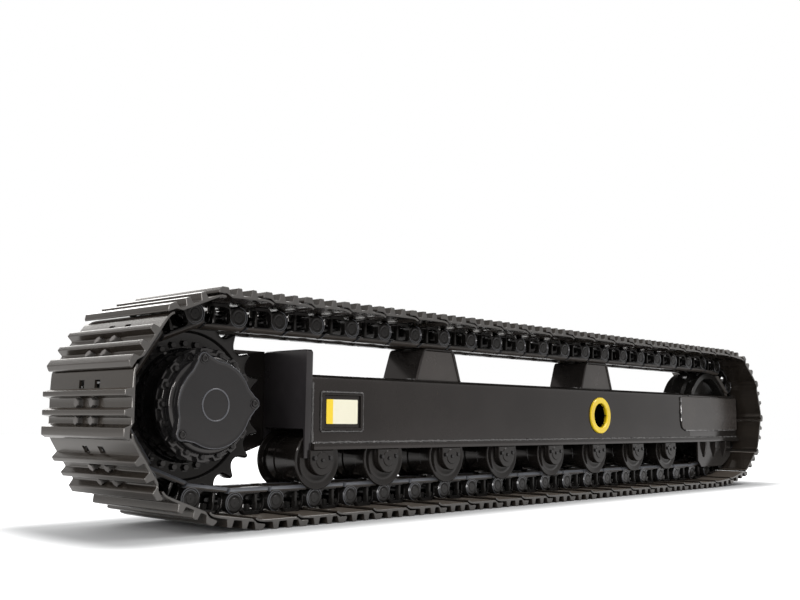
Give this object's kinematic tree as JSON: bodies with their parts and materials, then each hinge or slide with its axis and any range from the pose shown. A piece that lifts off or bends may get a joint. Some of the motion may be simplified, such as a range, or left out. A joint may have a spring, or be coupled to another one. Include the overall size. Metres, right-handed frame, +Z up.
{
  "type": "excavator track unit",
  "caption": "Crawler track unit: welded side frame with final drive, idler, lower rollers and slide pads, wrapped by a steel shoe chain with triple grousers.",
  "frame": {"origin": "on the ground, under the middle of the unit's length and width", "axes": "+X from the drive wheel to the idler, +Y from the outer side with the drive cover to the inner side with the motor, +Z up"},
  "size_m": [4.6362, 0.54, 0.8304],
  "materials": {
    "shoe_paint": "gloss black paint on rolled steel",
    "chain_paint": "gloss black paint on forged steel",
    "bushing_steel": "black paint on hardened steel",
    "roller_paint": "gloss black paint on forged steel",
    "yellow_paint": "gloss yellow paint",
    "label_film": "satin film, blank",
    "spring_paint": "black paint on spring steel",
    "shaft_steel": "turned steel",
    "casting_paint": "gloss black paint on cast steel",
    "frame_paint": "gloss black paint on welded plate"
  },
  "bodies": {
    "frame": {"access_panel": "frame_paint", "access_ring": "yellow_paint", "beam_shell": "frame_paint", "beam_web": "frame_paint", "bottom_flanges": "frame_paint", "front_skid": "frame_paint", "hub_spindle": "shaft_steel", "idler_axle": "shaft_steel", "idler_doublers": "frame_paint", "idler_guides": "frame_paint", "idler_yoke": "frame_paint", "label_frame": "frame_paint", "label_plate": "label_film", "motor_bracket": "frame_paint", "mounting_pads": "frame_paint", "rear_bulkhead": "frame_paint", "rear_skid": "frame_paint", "recoil_spring": "spring_paint", "roller_shafts": "frame_paint", "spring_seats": "frame_paint", "tension_cylinder": "frame_paint", "tension_rod": "shaft_steel", "travel_motor": "frame_paint"},
    "top_run": {"top_run_links": "chain_paint", "top_run_bushings": "bushing_steel", "top_run_shoes": "shoe_paint"},
    "ground_run": {"ground_run_links": "chain_paint", "ground_run_bushings": "bushing_steel", "ground_run_shoes": "shoe_paint"},
    "sprocket": {"sprocket_ring": "casting_paint", "drive_hub": "frame_paint", "slotted_ring": "frame_paint", "drive_cover": "frame_paint", "drive_wrap_links": "chain_paint", "drive_wrap_bushings": "bushing_steel", "drive_wrap_shoes": "shoe_paint"},
    "idler": {"idler_wheel": "casting_paint", "idler_wrap_links": "chain_paint", "idler_wrap_bushings": "bushing_steel", "idler_wrap_shoes": "shoe_paint"},
    "drive_top": {"drive_top_link": "chain_paint", "drive_top_shoe": "shoe_paint"},
    "idler_top": {"idler_top_link": "chain_paint", "idler_top_shoe": "shoe_paint"},
    "drive_ramp": {"drive_ramp_link": "chain_paint", "drive_ramp_shoe": "shoe_paint"},
    "ground_end": {"ground_end_link": "chain_paint", "ground_end_shoe": "shoe_paint"},
    "idler_bottom": {"idler_bottom_link": "chain_paint", "idler_bottom_shoe": "shoe_paint"},
    "idler_ramp": {"idler_ramp_link": "chain_paint", "idler_ramp_shoe": "shoe_paint"},
    "roller_1": {"roller_1": "roller_paint"},
    "roller_2": {"roller_2": "roller_paint"},
    "roller_3": {"roller_3": "roller_paint"},
    "roller_4": {"roller_4": "roller_paint"},
    "roller_5": {"roller_5": "roller_paint"},
    "roller_6": {"roller_6": "roller_paint"},
    "roller_7": {"roller_7": "roller_paint"},
    "roller_8": {"roller_8": "roller_paint"}
  },
  "joints": [
    {"name": "track_travel", "type": "slide", "parent": "frame", "child": "ground_run", "axis": [-1, 0, 0], "range_m": [0, 0.095]},
    {"name": "top_run_travel", "type": "slide", "parent": "frame", "child": "top_run", "axis": [1, 0, 0], "range_m": [0, 0.095]},
    {"name": "sprocket_spin", "type": "hinge", "parent": "frame", "child": "sprocket", "pos_m": [-1.92872, 0, 0.4276], "axis": [0, 1, 0], "range_deg": [0, 17.15]},
    {"name": "idler_spin", "type": "hinge", "parent": "frame", "child": "idler", "pos_m": [1.91603, 0, 0.43455], "axis": [0, 1, 0], "range_deg": [0, 17.15]},
    {"name": "drive_top_pin", "type": "hinge", "parent": "sprocket", "child": "drive_top", "pos_m": [-2.13192, 0, 0.67778], "axis": [0, 1, 0], "range_deg": [-1.92, 0]},
    {"name": "idler_top_pin", "type": "hinge", "parent": "idler", "child": "idler_top", "pos_m": [1.84431, 0, 0.74877], "axis": [0, 1, 0], "range_deg": [-19.31, 0]},
    {"name": "drive_ramp_pin", "type": "hinge", "parent": "sprocket", "child": "drive_ramp", "pos_m": [-1.94992, 0, 0.106], "axis": [0, 1, 0], "range_deg": [-16.8, 0]},
    {"name": "ground_end_pin", "type": "hinge", "parent": "ground_run", "child": "ground_end", "pos_m": [-1.57157, 0, 0.081], "axis": [0, 1, 0], "range_deg": [0, 5.86]},
    {"name": "idler_bottom_pin", "type": "hinge", "parent": "idler", "child": "idler_bottom", "pos_m": [2.03378, 0, 0.13453], "axis": [0, 1, 0], "range_deg": [-15.88, 0]},
    {"name": "idler_ramp_pin", "type": "hinge", "parent": "ground_run", "child": "idler_ramp", "pos_m": [1.65843, 0, 0.081], "axis": [0, 1, 0], "range_deg": [0, 5.2]},
    {"name": "roller_1_spin", "type": "hinge", "parent": "frame", "child": "roller_1", "pos_m": [-1.38072, 0, 0.2253], "axis": [0, 1, 0], "range_deg": [-59.19, 0]},
    {"name": "roller_2_spin", "type": "hinge", "parent": "frame", "child": "roller_2", "pos_m": [-1.01572, 0, 0.2253], "axis": [0, 1, 0], "range_deg": [-59.19, 0]},
    {"name": "roller_3_spin", "type": "hinge", "parent": "frame", "child": "roller_3", "pos_m": [-0.61937, 0, 0.2253], "axis": [0, 1, 0], "range_deg": [-59.19, 0]},
    {"name": "roller_4_spin", "type": "hinge", "parent": "frame", "child": "roller_4", "pos_m": [-0.22302, 0, 0.2253], "axis": [0, 1, 0], "range_deg": [-59.19, 0]},
    {"name": "roller_5_spin", "type": "hinge", "parent": "frame", "child": "roller_5", "pos_m": [0.17333, 0, 0.2253], "axis": [0, 1, 0], "range_deg": [-59.19, 0]},
    {"name": "roller_6_spin", "type": "hinge", "parent": "frame", "child": "roller_6", "pos_m": [0.56968, 0, 0.2253], "axis": [0, 1, 0], "range_deg": [-59.19, 0]},
    {"name": "roller_7_spin", "type": "hinge", "parent": "frame", "child": "roller_7", "pos_m": [0.96603, 0, 0.2253], "axis": [0, 1, 0], "range_deg": [-59.19, 0]},
    {"name": "roller_8_spin", "type": "hinge", "parent": "frame", "child": "roller_8", "pos_m": [1.33103, 0, 0.2253], "axis": [0, 1, 0], "range_deg": [-59.19, 0]}
  ],
  "couplings": [
    {"joint": "top_run_travel", "follows": "track_travel", "ratio": 1},
    {"joint": "sprocket_spin", "follows": "track_travel", "rad_per_m": 3.1495},
    {"joint": "idler_spin", "follows": "track_travel", "rad_per_m": 3.1495},
    {"joint": "drive_top_pin", "follows": "track_travel", "rad_per_m": -0.35339},
    {"joint": "idler_top_pin", "follows": "track_travel", "rad_per_m": -3.5454},
    {"joint": "drive_ramp_pin", "follows": "track_travel", "rad_per_m": -3.0856},
    {"joint": "ground_end_pin", "follows": "track_travel", "rad_per_m": 1.0763},
    {"joint": "idler_bottom_pin", "follows": "track_travel", "rad_per_m": -2.9154},
    {"joint": "idler_ramp_pin", "follows": "track_travel", "rad_per_m": 0.95559},
    {"joint": "roller_1_spin", "follows": "track_travel", "rad_per_m": -10.87},
    {"joint": "roller_2_spin", "follows": "track_travel", "rad_per_m": -10.87},
    {"joint": "roller_3_spin", "follows": "track_travel", "rad_per_m": -10.87},
    {"joint": "roller_4_spin", "follows": "track_travel", "rad_per_m": -10.87},
    {"joint": "roller_5_spin", "follows": "track_travel", "rad_per_m": -10.87},
    {"joint": "roller_6_spin", "follows": "track_travel", "rad_per_m": -10.87},
    {"joint": "roller_7_spin", "follows": "track_travel", "rad_per_m": -10.87},
    {"joint": "roller_8_spin", "follows": "track_travel", "rad_per_m": -10.87}
  ]
}
